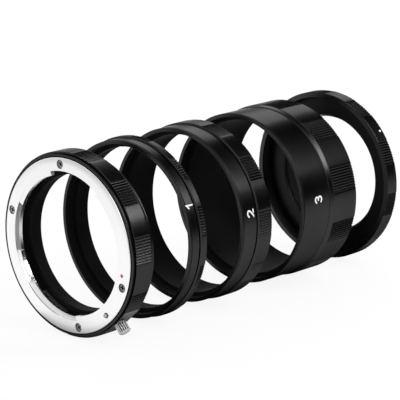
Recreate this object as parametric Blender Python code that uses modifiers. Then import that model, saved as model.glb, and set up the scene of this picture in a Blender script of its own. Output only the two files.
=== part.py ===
"""Macro extension tube set: a lens side ring, three numbered tubes and a camera side ring.

The five rings stand on their rims in a row on one optical axis, a little apart.
Each ring is modelled about its own Z axis, the optical axis, with Z counted towards the
camera side. One turned empty lays that axis along world X. Angles run from the top of
a ring towards world -Y. All sizes are in metres.
"""
import math

import bmesh
import bpy
from mathutils import Matrix, Vector

# Sizes that all rings share, counted inwards from the rim
OUTER_RADIUS = 0.0310
BAND_DROP = 0.0006
GROOVE_DROP = 0.0013
LIP_WALL = 0.0020
THREAD_CLEARANCE = 0.0002
SPIGOT_WALL = 0.0012
SOCKET_DEPTH = 0.0035
TUBE_SPIGOT_LENGTH = 0.0022
FIT_GAP = 0.0003

# Grip bands: straight ribs in patches round the rim
GRIP_PATCHES = 10
RIBS_PER_PATCH = 6
RIB_PITCH = math.radians(2.6)
RIB_DEPTH = 0.00035
RIB_BAR = 0.0006

# Lens side ring, from its mount face to its thread
LENS_SHOULDER = 0.0005
LENS_BEAD = 0.0005
LENS_GROOVE = 0.0006
LENS_GRIP = 0.0068
LENS_SPIGOT_LENGTH = 0.0032
BEAD_DROP = 0.0007
LENS_GROOVE_DROP = 0.0011
LENS_CAVITY_DEPTH = 0.0056
LENS_STOP_LENGTH = 0.0044
STOP_REACH = 0.0021
LENS_GRIP_ANGLE = math.radians(47)

# Mount flange of the lens side ring, with its collar and three inner lugs
FLANGE_INSET = 0.0017
FLANGE_WIDTH = 0.0044
FLANGE_THICKNESS = 0.0010
FLANGE_CHAMFER = 0.0004
COLLAR_DEPTH = 0.0034
COLLAR_WALL = 0.0003
LUG_REACH = 0.0015
LUG_SETBACK = 0.0004
LUG_THICKNESS = 0.0015
LENS_LUGS = ((math.radians(35), math.radians(171)),
             (math.radians(229), math.radians(255)),
             (math.radians(295), math.radians(343)))
FLANGE_SCREW_ANGLES = tuple(math.radians(a) for a in (355, 109, 169, 286))
INDEX_DOT_ANGLE = math.radians(100.6)
INDEX_DOT_INSET = 0.0012
INDEX_DOT_RADIUS = 0.0007
INDEX_DOT_THICKNESS = 0.0004

# Leaf springs behind the flange
LEAF_ANGLES = tuple(math.radians(a) for a in (85, 205, 325))
LEAF_SPAN = math.radians(28)
LEAF_THICKNESS = 0.0005
LEAF_WIDTH = 0.0015

# Release knob, its slider, its lock pin and its return spring
RELEASE_ANGLE = math.radians(137)
RELEASE_TRAVEL = 0.0016
FLAT_DEPTH = 0.0007
POCKET_ROOF = 0.0010
POCKET_FLOOR = 0.0003
SLIDER_LENGTH = 0.0030
SLIDER_WIDTH = 0.0050
SLIDER_START = 0.0023
SPRING_ROOM = 0.0011
KNOB_RADIUS = 0.00215
KNOB_HEIGHT = 0.0038
KNOB_CHAMFER = 0.0005
KNOB_KNURLS = 12
KNURL_DEPTH = 0.0003
STEM_RADIUS = 0.0008
LOCK_PIN_RADIUS = 0.0007
LOCK_PIN_REACH = 0.0009
COIL_RADIUS = 0.0010
COIL_WIRE = 0.0002
COIL_TURNS = 3
COIL_POINTS_PER_TURN = 8

# Numbered tubes: front bead, number band, groove and grip
TUBE_BEAD = 0.0007
TUBE_NECK = 0.0006
NECK_DEPTH = 0.0004
TUBE_GROOVE = 0.0008
TUBE_BANDS = {"tube_1": 0.0026, "tube_2": 0.0055, "tube_3": 0.0130}
TUBE_GRIPS = {"tube_1": 0.0023, "tube_2": 0.0064, "tube_3": 0.0127}
TUBE_GRIP_ANGLES = {"tube_1": math.radians(76), "tube_2": math.radians(52), "tube_3": math.radians(38)}

# Camera side ring and its bayonet
CAMERA_GRIP = 0.0052
CAMERA_GRIP_ANGLE = math.radians(65)
CAMERA_SOCKET_DEPTH = 0.0040
CAMERA_PLATE_WIDTH = 0.0072
BAYONET_STEP = 0.0006
BAYONET_WALL = 0.0010
BAYONET_SEAT = 0.0054
BAYONET_PLATE = 0.0010
BAYONET_TUBE = 0.0046
BAYONET_LUG_REACH = 0.0019
BAYONET_LUG_THICKNESS = 0.0016
LUG_INSET = 0.0002
BAYONET_LUGS = ((math.radians(20), math.radians(75)),
                (math.radians(140), math.radians(185)),
                (math.radians(255), math.radians(305)))
BAYONET_SCREW_ANGLES = tuple(math.radians(a) for a in (40, 130, 220, 310))
RIM_DOT_ANGLE = math.radians(50)
RIM_DOT_PLACE = 0.0038
RIM_DOT_RADIUS = 0.0006
RIM_DOT_THICKNESS = 0.0004

# Screws
FLANGE_SCREW_HEAD = 0.0014
FLANGE_SCREW_SHANK = 0.0008
FLANGE_SCREW_LENGTH = 0.0036
BAYONET_SCREW_HEAD = 0.0012
BAYONET_SCREW_SHANK = 0.0007
BAYONET_SCREW_LENGTH = 0.0011
SCREW_HEAD_THICKNESS = 0.0006
SCREW_OVERLAP = 0.0002

# Spaces between the rings in the row
LENS_SPACE = 0.0186
TUBE_1_SPACE = 0.0181
TUBE_2_SPACE = 0.0170
TUBE_3_SPACE = 0.0178

# Facets
SEGMENTS = 36
SMALL_SEGMENTS = 8
SHARP_ANGLE = math.radians(35)
MERGE = 0.00001
OVERCUT = 0.0005

# Radii that follow from the sizes above
BAND_RADIUS = OUTER_RADIUS - BAND_DROP
GROOVE_RADIUS = OUTER_RADIUS - GROOVE_DROP
SOCKET_RADIUS = OUTER_RADIUS - LIP_WALL
SPIGOT_RADIUS = SOCKET_RADIUS - THREAD_CLEARANCE
TUBE_BORE = SPIGOT_RADIUS - SPIGOT_WALL
FLANGE_RADIUS = OUTER_RADIUS - FLANGE_INSET
THROAT_RADIUS = FLANGE_RADIUS - FLANGE_WIDTH
LUG_RADIUS = THROAT_RADIUS - LUG_REACH
COLLAR_RADIUS = THROAT_RADIUS + COLLAR_WALL
CAVITY_RADIUS = COLLAR_RADIUS + FIT_GAP
STOP_RADIUS = THROAT_RADIUS - STOP_REACH
FLANGE_SCREW_CIRCLE = (FLANGE_RADIUS + THROAT_RADIUS) / 2
INDEX_DOT_CIRCLE = THROAT_RADIUS + INDEX_DOT_INSET
CAMERA_BORE = SOCKET_RADIUS - CAMERA_PLATE_WIDTH
BAYONET_BORE = CAMERA_BORE - BAYONET_STEP
BAYONET_RADIUS = BAYONET_BORE + BAYONET_WALL
BAYONET_PLATE_RADIUS = BAYONET_RADIUS + BAYONET_SEAT
BAYONET_SCREW_CIRCLE = (BAYONET_RADIUS + BAYONET_PLATE_RADIUS) / 2
POCKET_OUTER = OUTER_RADIUS - FLAT_DEPTH - POCKET_ROOF
POCKET_INNER = CAVITY_RADIUS + POCKET_FLOOR
LOCK_PIN_CIRCLE = POCKET_INNER + LOCK_PIN_RADIUS + FIT_GAP

# Places along the optical axis that follow from the sizes above
LENS_SEAT = FLANGE_THICKNESS + FIT_GAP
LENS_GRIP_START = LENS_SHOULDER + LENS_BEAD + LENS_GROOVE
LENS_REAR = LENS_GRIP_START + LENS_GRIP
TUBE_FRONT = TUBE_BEAD + TUBE_NECK
TUBE_LENGTHS = {name: TUBE_FRONT + TUBE_BANDS[name] + TUBE_GROOVE + TUBE_GRIPS[name] for name in TUBE_BANDS}
TUBE_1_START = LENS_REAR + LENS_SPACE
TUBE_2_START = TUBE_1_START + TUBE_LENGTHS["tube_1"] + TUBE_1_SPACE
TUBE_3_START = TUBE_2_START + TUBE_LENGTHS["tube_2"] + TUBE_2_SPACE
CAMERA_START = TUBE_3_START + TUBE_LENGTHS["tube_3"] + TUBE_3_SPACE
BAYONET_START = CAMERA_GRIP + FIT_GAP
BAYONET_END = BAYONET_START + BAYONET_PLATE + BAYONET_TUBE
FLANGE_SCREW_FACE = SCREW_HEAD_THICKNESS + FIT_GAP
FLANGE_SCREW_TIP = FLANGE_SCREW_FACE - SCREW_OVERLAP + FLANGE_SCREW_LENGTH
BAYONET_SCREW_FACE = BAYONET_START + BAYONET_PLATE - FIT_GAP - SCREW_HEAD_THICKNESS
BAYONET_SCREW_TIP = BAYONET_SCREW_FACE + SCREW_OVERLAP - BAYONET_SCREW_LENGTH
ROW_MIDDLE = (CAMERA_START + BAYONET_END - LOCK_PIN_REACH) / 2
FACET_TURN = math.pi / SEGMENTS
AXIS_HEIGHT = OUTER_RADIUS
KNOB_PLACE = SLIDER_START + SLIDER_LENGTH / 2
SLIDER_END = SLIDER_START + SLIDER_LENGTH
POCKET_END = SLIDER_END + RELEASE_TRAVEL + SPRING_ROOM


def clear_scene():
    for item in list(bpy.data.objects):
        bpy.data.objects.remove(item, do_unlink=True)


def new_collection(name):
    collection = bpy.data.collections.new(name)
    bpy.context.scene.collection.children.link(collection)
    return collection


def new_material(name, colour, roughness, metallic):
    material = bpy.data.materials.new(name)
    material.use_nodes = True
    shader = material.node_tree.nodes["Principled BSDF"]
    shader.inputs["Base Color"].default_value = (*colour, 1.0)
    shader.inputs["Roughness"].default_value = roughness
    shader.inputs["Metallic"].default_value = metallic
    return material


def new_frame(name, place, parent=None):
    """An empty on the optical axis that carries one ring."""
    frame = bpy.data.objects.new(name, None)
    PARTS.objects.link(frame)
    frame.parent = parent
    frame.location = place
    frame.empty_display_size = OUTER_RADIUS / 2
    return frame


def mesh_object(name, shape, collection):
    """An object from a bmesh, with its faces pointing out and its edges sharp by angle."""
    bmesh.ops.recalc_face_normals(shape, faces=shape.faces)
    mesh = bpy.data.meshes.new(name)
    shape.to_mesh(mesh)
    shape.free()
    mesh.shade_smooth()
    mesh.set_sharp_from_angle(angle=SHARP_ANGLE)
    item = bpy.data.objects.new(name, mesh)
    collection.objects.link(item)
    return item


def turn_profile(profile, start=0.0, span=2 * math.pi, steps=None):
    """A bmesh turned about Z from a closed loop of (axial place, radius) points."""
    mesh = bpy.data.meshes.new("profile")
    count = len(profile)
    mesh.from_pydata([(radius, 0, place) for place, radius in profile],
                     [(i, (i + 1) % count) for i in range(count)], [])
    guide = bpy.data.objects.new("profile", mesh)
    bpy.context.scene.collection.objects.link(guide)
    screw = guide.modifiers.new("turn", "SCREW")
    screw.axis = "Z"
    screw.angle = span
    screw.steps = steps or SEGMENTS
    screw.render_steps = screw.steps
    screw.use_merge_vertices = span > 6.28
    screw.merge_threshold = MERGE
    evaluated = guide.evaluated_get(bpy.context.evaluated_depsgraph_get())
    turned = bpy.data.meshes.new_from_object(evaluated)
    bpy.data.objects.remove(guide, do_unlink=True)
    shape = bmesh.new()
    shape.from_mesh(turned)
    bpy.data.meshes.remove(turned)
    if span < 6.28:
        bmesh.ops.holes_fill(shape, edges=[edge for edge in shape.edges if edge.is_boundary])
    bmesh.ops.rotate(shape, verts=shape.verts, matrix=Matrix.Rotation(start, 3, "Z"))
    return shape


def widen(shape, half_facet):
    """Move the corners of a faceted shape out, so that its flats lie on the true circles."""
    share = 1 / math.cos(half_facet)
    bmesh.ops.scale(shape, verts=shape.verts, vec=(share, share, 1))
    return shape


def turned_ring(name, profile, collection=None):
    """A full ring whose lowest facet lies flat."""
    shape = widen(turn_profile(profile, start=FACET_TURN), FACET_TURN)
    return mesh_object(name, shape, collection or PARTS)


def sector(name, front, rear, inner, outer, start, end, collection):
    """A block bent round the axis between two angles."""
    steps = max(2, round((end - start) / (2 * FACET_TURN)))
    profile = [(front, inner), (front, outer), (rear, outer), (rear, inner)]
    shape = widen(turn_profile(profile, start, end - start, steps), (end - start) / (2 * steps))
    return mesh_object(name, shape, collection)


def add_cylinder(shape, radius, start, length, axis="Z", segments=None, tip=None):
    """Add a closed cylinder or cone that begins at start and runs along an axis."""
    tip_radius = radius if tip is None else tip
    made = bmesh.ops.create_cone(shape, cap_ends=True, segments=segments or SMALL_SEGMENTS,
                                 radius1=radius, radius2=tip_radius, depth=length)
    bmesh.ops.translate(shape, verts=made["verts"], vec=(0, 0, start + length / 2))
    if axis == "X":
        bmesh.ops.rotate(shape, verts=made["verts"], matrix=Matrix.Rotation(math.pi / 2, 3, "Y"))
    return made["verts"]


def add_box(shape, size, centre):
    made = bmesh.ops.create_cube(shape, size=1.0)
    bmesh.ops.scale(shape, verts=made["verts"], vec=size)
    bmesh.ops.translate(shape, verts=made["verts"], vec=centre)
    return made["verts"]


def put(item, frame, radius=0.0, angle=0.0, place=0.0):
    """Parent a piece to its ring at a radius, an angle and a place along the axis."""
    item.parent = frame
    item.location = (radius * math.cos(angle), radius * math.sin(angle), place)
    item.rotation_euler = (0, 0, angle)
    return item


def cut(item, cutter, operation="DIFFERENCE"):
    cutter.hide_render = True
    cutter.display_type = "WIRE"
    boolean = item.modifiers.new(cutter.name, "BOOLEAN")
    boolean.operation = operation
    boolean.solver = "EXACT"
    boolean.object = cutter


def paint(item, material):
    item.data.materials.clear()
    item.data.materials.append(material)
    return item


def cut_ribs(item, frame, start, length, first_angle):
    """V grooves along the axis, in patches spaced evenly round the rim."""
    shape = bmesh.new()
    reach = RIB_BAR / math.sqrt(2)
    centre = OUTER_RADIUS - RIB_DEPTH + reach
    for patch in range(GRIP_PATCHES):
        middle = first_angle + patch * 2 * math.pi / GRIP_PATCHES
        for rib in range(RIBS_PER_PATCH):
            angle = middle + (rib - (RIBS_PER_PATCH - 1) / 2) * RIB_PITCH
            bar = add_box(shape, (RIB_BAR, RIB_BAR, length), (0, 0, start + length / 2))
            bmesh.ops.rotate(shape, verts=bar, matrix=Matrix.Rotation(math.pi / 4, 3, "Z"))
            bmesh.ops.translate(shape, verts=bar, vec=(centre, 0, 0))
            bmesh.ops.rotate(shape, verts=bar, matrix=Matrix.Rotation(angle, 3, "Z"))
    cutter = put(mesh_object(item.name + "_ribs", shape, CUTTERS), frame)
    cut(item, cutter)


def cut_round_hole(item, frame, name, radius, circle, angle, start, length):
    shape = bmesh.new()
    add_cylinder(shape, radius, 0, length)
    cutter = put(mesh_object(name, shape, CUTTERS), frame, circle, angle, start)
    cut(item, cutter)


def add_screw(name, frame, circle, angle, face, facing, head, shank, length):
    """A pan head screw. facing is +1 where its head looks along the axis, -1 where it looks back."""
    shape = bmesh.new()
    add_cylinder(shape, head, 0, SCREW_HEAD_THICKNESS)
    item = mesh_object(name, shape, PARTS)
    shank_shape = bmesh.new()
    add_cylinder(shank_shape, shank, SCREW_OVERLAP - length, length)
    shank_item = mesh_object(name + "_shank", shank_shape, CUTTERS)
    for piece in (item, shank_item):
        put(piece, frame, circle, angle, face)
        if facing < 0:
            piece.rotation_euler = (math.pi, 0, angle)
    cut(item, shank_item, "UNION")
    return paint(item, STEEL)


def lens_ring(frame):
    """The black body of the lens side ring, turned with its socket, stop ring and thread."""
    bead = OUTER_RADIUS - BEAD_DROP
    seat_wall = FLANGE_RADIUS + FIT_GAP
    groove = OUTER_RADIUS - LENS_GROOVE_DROP
    bead_end = LENS_SHOULDER + LENS_BEAD
    stop_end = LENS_CAVITY_DEPTH + LENS_STOP_LENGTH
    end = LENS_REAR + LENS_SPIGOT_LENGTH
    profile = [(LENS_SHOULDER, seat_wall), (LENS_SHOULDER, bead), (bead_end, bead), (bead_end, groove),
               (LENS_GRIP_START, groove), (LENS_GRIP_START, OUTER_RADIUS), (LENS_REAR, OUTER_RADIUS),
               (LENS_REAR, SPIGOT_RADIUS), (end, SPIGOT_RADIUS), (end, TUBE_BORE), (stop_end, TUBE_BORE),
               (stop_end, STOP_RADIUS), (LENS_CAVITY_DEPTH, STOP_RADIUS),
               (LENS_CAVITY_DEPTH, CAVITY_RADIUS), (LENS_SEAT, CAVITY_RADIUS), (LENS_SEAT, seat_wall)]
    item = put(turned_ring("lens_ring", profile), frame)
    cut_ribs(item, frame, LENS_GRIP_START - LENS_GROOVE / 2, LENS_GRIP + LENS_GROOVE, LENS_GRIP_ANGLE)
    for index, angle in enumerate(FLANGE_SCREW_ANGLES):
        cut_round_hole(item, frame, f"lens_ring_screw_hole_{index + 1}", FLANGE_SCREW_SHANK + FIT_GAP,
                       FLANGE_SCREW_CIRCLE, angle, LENS_SEAT - OVERCUT,
                       FLANGE_SCREW_TIP + FIT_GAP - LENS_SEAT + OVERCUT)
    cut_release_pocket(item, frame)
    return paint(item, BLACK)


def cut_release_pocket(item, frame):
    """The milled flat, the slot for the stem, the slider's pocket and the lock pin's hole."""
    flat = bmesh.new()
    half = math.sqrt(OUTER_RADIUS ** 2 - (OUTER_RADIUS - FLAT_DEPTH) ** 2) + OVERCUT
    flat_start = LENS_GRIP_START - LENS_GROOVE / 2
    flat_length = LENS_REAR + OVERCUT - flat_start
    flat_height = FLAT_DEPTH + OVERCUT
    add_box(flat, (flat_height, 2 * half, flat_length),
            (OUTER_RADIUS - FLAT_DEPTH + flat_height / 2, 0, flat_start + flat_length / 2))
    cut(item, put(mesh_object("lens_ring_flat", flat, CUTTERS), frame, angle=RELEASE_ANGLE))

    pocket = bmesh.new()
    width = SLIDER_WIDTH + 2 * FIT_GAP
    start = SLIDER_START - FIT_GAP
    add_box(pocket, (POCKET_OUTER - POCKET_INNER, width, POCKET_END - start),
            ((POCKET_OUTER + POCKET_INNER) / 2, 0, (POCKET_END + start) / 2))
    cut(item, put(mesh_object("lens_ring_pocket", pocket, CUTTERS), frame, angle=RELEASE_ANGLE))

    slot = bmesh.new()
    reach = STEM_RADIUS + FIT_GAP
    depth = OUTER_RADIUS - POCKET_OUTER + 2 * OVERCUT
    add_box(slot, (depth, 2 * reach, RELEASE_TRAVEL + 2 * reach),
            (POCKET_OUTER - OVERCUT + depth / 2, 0, KNOB_PLACE + RELEASE_TRAVEL / 2))
    cut(item, put(mesh_object("lens_ring_slot", slot, CUTTERS), frame, angle=RELEASE_ANGLE))
    cut_round_hole(item, frame, "lens_ring_pin_hole", LOCK_PIN_RADIUS + FIT_GAP, LOCK_PIN_CIRCLE,
                   RELEASE_ANGLE, LENS_SEAT - OVERCUT, SLIDER_START - LENS_SEAT + 2 * OVERCUT)


def lens_flange(frame):
    """The bright mount flange, turned with its collar, and the three lugs that hold a lens."""
    profile = [(0, THROAT_RADIUS), (0, FLANGE_RADIUS - FLANGE_CHAMFER), (FLANGE_CHAMFER, FLANGE_RADIUS),
               (FLANGE_THICKNESS, FLANGE_RADIUS), (FLANGE_THICKNESS, COLLAR_RADIUS),
               (COLLAR_DEPTH, COLLAR_RADIUS), (COLLAR_DEPTH, THROAT_RADIUS)]
    item = put(turned_ring("lens_flange", profile), frame)
    root = THROAT_RADIUS + COLLAR_WALL / 2
    for index, (start, end) in enumerate(LENS_LUGS):
        lug = sector(f"lens_flange_lug_{index + 1}", LUG_SETBACK, LUG_SETBACK + LUG_THICKNESS,
                     LUG_RADIUS, root, start, end, CUTTERS)
        cut(item, put(lug, frame), "UNION")
    depth = FLANGE_THICKNESS + 2 * OVERCUT
    for index, angle in enumerate(FLANGE_SCREW_ANGLES):
        cut_round_hole(item, frame, f"lens_flange_screw_hole_{index + 1}", FLANGE_SCREW_HEAD + FIT_GAP,
                       FLANGE_SCREW_CIRCLE, angle, -OVERCUT, depth)
    cut_round_hole(item, frame, "lens_flange_pin_hole", LOCK_PIN_RADIUS + FIT_GAP, LOCK_PIN_CIRCLE,
                   RELEASE_ANGLE, -OVERCUT, depth)
    cut_round_hole(item, frame, "lens_flange_dot_hole", INDEX_DOT_RADIUS + FIT_GAP, INDEX_DOT_CIRCLE,
                   INDEX_DOT_ANGLE, -OVERCUT, INDEX_DOT_THICKNESS + FIT_GAP + OVERCUT)
    return paint(item, CHROME)


def lens_fittings(frame):
    """Flange screws, index dot and the leaf springs that grip a lens."""
    for index, angle in enumerate(FLANGE_SCREW_ANGLES):
        add_screw(f"lens_flange_screw_{index + 1}", frame, FLANGE_SCREW_CIRCLE, angle,
                  FLANGE_SCREW_FACE, -1, FLANGE_SCREW_HEAD, FLANGE_SCREW_SHANK, FLANGE_SCREW_LENGTH)
    dot = bmesh.new()
    add_cylinder(dot, INDEX_DOT_RADIUS, 0, INDEX_DOT_THICKNESS)
    paint(put(mesh_object("lens_index_dot", dot, PARTS), frame, INDEX_DOT_CIRCLE, INDEX_DOT_ANGLE), RED)
    leaf_start = COLLAR_DEPTH + FIT_GAP
    leaf_outer = CAVITY_RADIUS - FIT_GAP
    for index, angle in enumerate(LEAF_ANGLES):
        leaf = sector(f"bayonet_spring_{index + 1}", leaf_start, leaf_start + LEAF_WIDTH,
                      leaf_outer - LEAF_THICKNESS, leaf_outer, angle - LEAF_SPAN / 2,
                      angle + LEAF_SPAN / 2, PARTS)
        paint(put(leaf, frame), SPRING)


def release_knob(frame):
    """A short knurled knob with a chamfered end, on a stem that goes in to the slider."""
    base = OUTER_RADIUS - FLAT_DEPTH + FIT_GAP
    shape = bmesh.new()
    add_cylinder(shape, KNOB_RADIUS, base, KNOB_HEIGHT - KNOB_CHAMFER, "X", 2 * KNOB_KNURLS)
    top = max(shape.faces, key=lambda face: face.calc_center_median().x)
    raised = bmesh.ops.extrude_face_region(shape, geom=[top])
    bmesh.ops.delete(shape, geom=[top], context="FACES_ONLY")
    verts = [part for part in raised["geom"] if isinstance(part, bmesh.types.BMVert)]
    bmesh.ops.translate(shape, verts=verts, vec=(KNOB_CHAMFER, 0, 0))
    share = (KNOB_RADIUS - KNOB_CHAMFER) / KNOB_RADIUS
    bmesh.ops.scale(shape, verts=verts, vec=(1, share, share))
    valley = (KNOB_RADIUS - KNURL_DEPTH) / KNOB_RADIUS
    for vert in shape.verts:
        turn = math.atan2(vert.co.z, vert.co.y) / (math.pi / KNOB_KNURLS)
        if round(turn) % 2 and vert.co.x < base + KNOB_HEIGHT - KNOB_CHAMFER / 2:
            vert.co.y *= valley
            vert.co.z *= valley
    item = mesh_object("release_knob", shape, PARTS)
    stem_end = POCKET_OUTER
    stem_shape = bmesh.new()
    add_cylinder(stem_shape, STEM_RADIUS, stem_end, base - stem_end + OVERCUT, axis="X")
    stem = mesh_object("release_knob_stem", stem_shape, CUTTERS)
    put(item, frame, angle=RELEASE_ANGLE)
    put(stem, frame, angle=RELEASE_ANGLE)
    cut(item, stem, "UNION")
    return paint(item, SILVER)


def release_slider(frame):
    """The block in the pocket that the knob pulls back, with the lock pin in front of it."""
    shape = bmesh.new()
    inner = POCKET_INNER + FIT_GAP
    outer = POCKET_OUTER - FIT_GAP
    add_box(shape, (outer - inner, SLIDER_WIDTH, SLIDER_LENGTH), ((outer + inner) / 2, 0, 0))
    paint(put(mesh_object("release_slider", shape, PARTS), frame, angle=RELEASE_ANGLE), STEEL)
    pin = bmesh.new()
    front = -LOCK_PIN_REACH - KNOB_PLACE
    length = SLIDER_START - FIT_GAP + LOCK_PIN_REACH
    add_cylinder(pin, LOCK_PIN_RADIUS, front, length)
    paint(put(mesh_object("lock_pin", pin, PARTS), frame, LOCK_PIN_CIRCLE, RELEASE_ANGLE), SILVER)


def release_spring(frame):
    """The coil behind the slider that pushes it back to the mount face."""
    start = SLIDER_END + FIT_GAP + COIL_WIRE
    length = POCKET_END - FIT_GAP - COIL_WIRE - start
    curve = bpy.data.curves.new("release_spring", "CURVE")
    curve.dimensions = "3D"
    curve.bevel_depth = COIL_WIRE
    curve.bevel_resolution = 2
    curve.use_fill_caps = True
    count = COIL_TURNS * COIL_POINTS_PER_TURN + 1
    spline = curve.splines.new("POLY")
    spline.points.add(count - 1)
    for index, point in enumerate(spline.points):
        turn = 2 * math.pi * index / COIL_POINTS_PER_TURN
        point.co = (COIL_RADIUS * math.cos(turn), COIL_RADIUS * math.sin(turn),
                    start + length * index / (count - 1), 1)
    guide = bpy.data.objects.new("release_spring_wire", curve)
    bpy.context.scene.collection.objects.link(guide)
    evaluated = guide.evaluated_get(bpy.context.evaluated_depsgraph_get())
    mesh = bpy.data.meshes.new_from_object(evaluated)
    bpy.data.objects.remove(guide, do_unlink=True)
    shape = bmesh.new()
    shape.from_mesh(mesh)
    bpy.data.meshes.remove(mesh)
    bmesh.ops.remove_doubles(shape, verts=shape.verts, dist=MERGE)
    middle = (POCKET_INNER + POCKET_OUTER) / 2
    return paint(put(mesh_object("release_spring", shape, PARTS), frame, middle, RELEASE_ANGLE), SPRING)


def number_tube(name, frame):
    """A numbered tube: one turned piece with a socket in front and a threaded spigot behind."""
    length = TUBE_LENGTHS[name]
    band_end = TUBE_FRONT + TUBE_BANDS[name]
    grip_start = band_end + TUBE_GROOVE
    neck = BAND_RADIUS - NECK_DEPTH
    end = length + TUBE_SPIGOT_LENGTH
    outside = [(0, SOCKET_RADIUS), (0, BAND_RADIUS), (TUBE_BEAD, BAND_RADIUS),
               (TUBE_BEAD + TUBE_NECK / 2, neck), (TUBE_FRONT, BAND_RADIUS), (band_end, BAND_RADIUS),
               (band_end, GROOVE_RADIUS), (grip_start, GROOVE_RADIUS), (grip_start, OUTER_RADIUS),
               (length, OUTER_RADIUS), (length, SPIGOT_RADIUS), (end, SPIGOT_RADIUS)]
    inside = [(end, TUBE_BORE), (SOCKET_DEPTH, TUBE_BORE), (SOCKET_DEPTH, SOCKET_RADIUS)]
    item = put(turned_ring(name, outside + inside), frame)
    cut_ribs(item, frame, grip_start - TUBE_GROOVE / 2, TUBE_GRIPS[name] + TUBE_GROOVE,
             TUBE_GRIP_ANGLES[name])
    return paint(item, BLACK)


def camera_ring(frame):
    """The black body of the camera side ring, with a socket in front of its plate."""
    profile = [(0, SOCKET_RADIUS), (0, OUTER_RADIUS), (CAMERA_GRIP, OUTER_RADIUS),
               (CAMERA_GRIP, CAMERA_BORE), (CAMERA_SOCKET_DEPTH, CAMERA_BORE),
               (CAMERA_SOCKET_DEPTH, SOCKET_RADIUS)]
    item = put(turned_ring("camera_ring", profile), frame)
    cut_ribs(item, frame, -OVERCUT, CAMERA_GRIP + 2 * OVERCUT, CAMERA_GRIP_ANGLE)
    for index, angle in enumerate(BAYONET_SCREW_ANGLES):
        cut_round_hole(item, frame, f"camera_ring_screw_hole_{index + 1}", BAYONET_SCREW_SHANK + FIT_GAP,
                       BAYONET_SCREW_CIRCLE, angle, BAYONET_SCREW_TIP - FIT_GAP,
                       CAMERA_GRIP + OVERCUT - BAYONET_SCREW_TIP + FIT_GAP)
    dot = bmesh.new()
    add_cylinder(dot, RIM_DOT_RADIUS + FIT_GAP, OUTER_RADIUS - RIM_DOT_THICKNESS - FIT_GAP,
                 RIM_DOT_THICKNESS + 2 * FIT_GAP, axis="X")
    hole = put(mesh_object("camera_ring_dot_hole", dot, CUTTERS), frame, angle=RIM_DOT_ANGLE,
               place=RIM_DOT_PLACE)
    cut(item, hole)
    return paint(item, BLACK)


def camera_bayonet(frame):
    """The bright bayonet that goes into the camera: seat plate, tube and three outer lugs."""
    plate_end = BAYONET_START + BAYONET_PLATE
    lug_start = BAYONET_END - BAYONET_LUG_THICKNESS
    profile = [(BAYONET_START, BAYONET_BORE), (BAYONET_START, BAYONET_PLATE_RADIUS),
               (plate_end, BAYONET_PLATE_RADIUS), (plate_end, BAYONET_RADIUS),
               (BAYONET_END, BAYONET_RADIUS), (BAYONET_END, BAYONET_BORE)]
    item = put(turned_ring("camera_bayonet", profile), frame)
    middle = (BAYONET_BORE + BAYONET_RADIUS) / 2
    for index, (start, end) in enumerate(BAYONET_LUGS):
        lug = sector(f"camera_bayonet_lug_{index + 1}", lug_start, BAYONET_END - LUG_INSET,
                     middle, BAYONET_RADIUS + BAYONET_LUG_REACH, start, end, CUTTERS)
        cut(item, put(lug, frame), "UNION")
    for index, angle in enumerate(BAYONET_SCREW_ANGLES):
        cut_round_hole(item, frame, f"camera_bayonet_screw_hole_{index + 1}",
                       BAYONET_SCREW_HEAD + FIT_GAP, BAYONET_SCREW_CIRCLE, angle,
                       BAYONET_START - OVERCUT, BAYONET_PLATE + 2 * OVERCUT)
    return paint(item, CHROME)


def camera_fittings(frame):
    """Bayonet screws, seen from the camera side, and the white dot on the rim."""
    for index, angle in enumerate(BAYONET_SCREW_ANGLES):
        add_screw(f"camera_bayonet_screw_{index + 1}", frame, BAYONET_SCREW_CIRCLE, angle,
                  BAYONET_SCREW_FACE, 1, BAYONET_SCREW_HEAD, BAYONET_SCREW_SHANK, BAYONET_SCREW_LENGTH)
    dot = bmesh.new()
    add_cylinder(dot, RIM_DOT_RADIUS, OUTER_RADIUS - RIM_DOT_THICKNESS, RIM_DOT_THICKNESS, axis="X")
    paint(put(mesh_object("camera_index_dot", dot, PARTS), frame, angle=RIM_DOT_ANGLE,
              place=RIM_DOT_PLACE), WHITE)


def build():
    row = new_frame("row", Vector((-ROW_MIDDLE, 0, AXIS_HEIGHT)))
    row.rotation_euler = Matrix(((0, 0, 1), (0, -1, 0), (1, 0, 0))).to_euler()
    lens = new_frame("lens_ring_frame", (0, 0, 0), row)
    lens_ring(lens)
    lens_flange(lens)
    lens_fittings(lens)
    release_spring(lens)
    release = new_frame("release_frame", (0, 0, KNOB_PLACE), lens)
    release_knob(release)
    release_slider(release)
    starts = {"tube_1": TUBE_1_START, "tube_2": TUBE_2_START, "tube_3": TUBE_3_START}
    for name, start in starts.items():
        number_tube(name, new_frame(name + "_frame", (0, 0, start), row))
    camera = new_frame("camera_ring_frame", (0, 0, CAMERA_START), row)
    camera_ring(camera)
    camera_bayonet(camera)
    camera_fittings(camera)


clear_scene()
PARTS = new_collection("macro_extension_tube")
CUTTERS = new_collection("cutters")
BLACK = new_material("black_anodised", (0.018, 0.018, 0.019), 0.38, 0.6)
CHROME = new_material("bright_chrome", (0.86, 0.86, 0.87), 0.18, 1.0)
SILVER = new_material("knurled_silver", (0.62, 0.62, 0.64), 0.32, 1.0)
STEEL = new_material("dark_steel", (0.10, 0.10, 0.11), 0.35, 0.9)
SPRING = new_material("spring_steel", (0.45, 0.45, 0.47), 0.3, 1.0)
RED = new_material("red_paint", (0.45, 0.02, 0.06), 0.45, 0.0)
WHITE = new_material("white_paint", (0.85, 0.85, 0.85), 0.5, 0.0)
build()
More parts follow.
